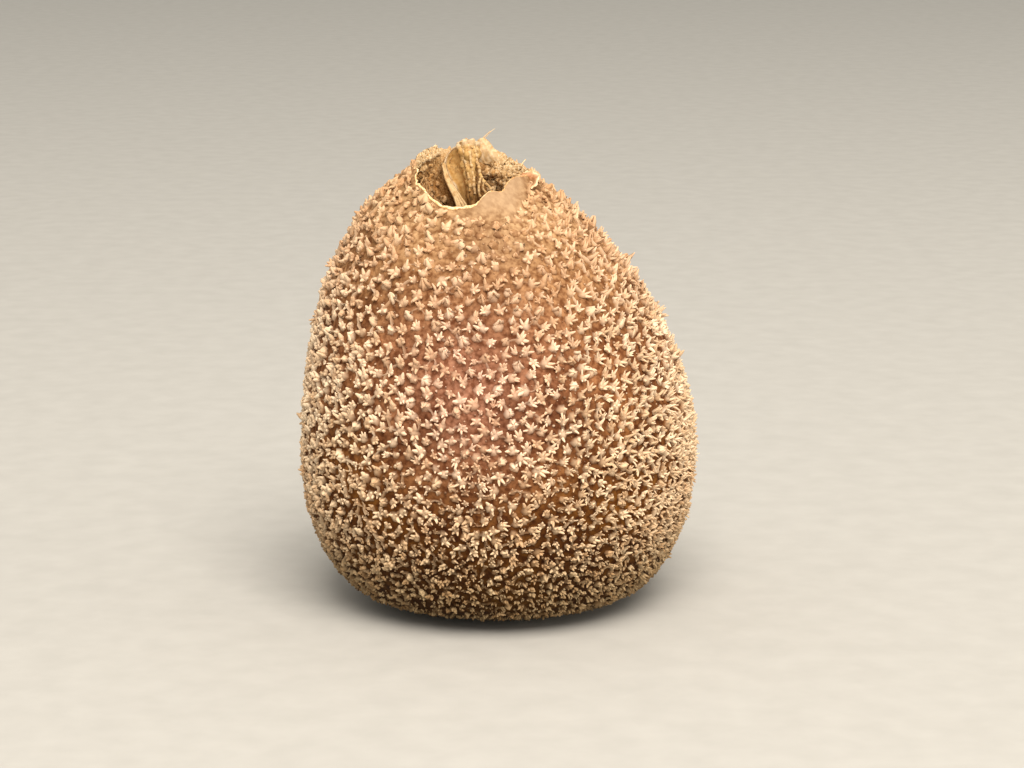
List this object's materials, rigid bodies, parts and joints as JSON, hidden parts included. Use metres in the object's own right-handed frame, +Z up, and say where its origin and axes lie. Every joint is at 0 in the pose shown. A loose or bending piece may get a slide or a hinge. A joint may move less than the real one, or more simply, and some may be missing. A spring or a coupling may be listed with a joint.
{
  "type": "small puffball mushroom",
  "caption": "Ripe egg-shaped puffball on a small flat spot, its skin set with low warts and its leaning crown torn open into a hollow with folds of tissue.",
  "frame": {"origin": "middle of the flat spot on the underside, on the ground", "axes": "+Z up through the mouth; -Y towards the side where the mouth dips lowest; the crown leans towards -X"},
  "size_m": [0.0266, 0.0262, 0.0306],
  "materials": {
    "skin": "dry matt tan-brown skin set with pale cream warts, paper-thin and torn at the mouth"
  },
  "bodies": {
    "root": {"puffball": "skin"}
  },
  "joints": []
}
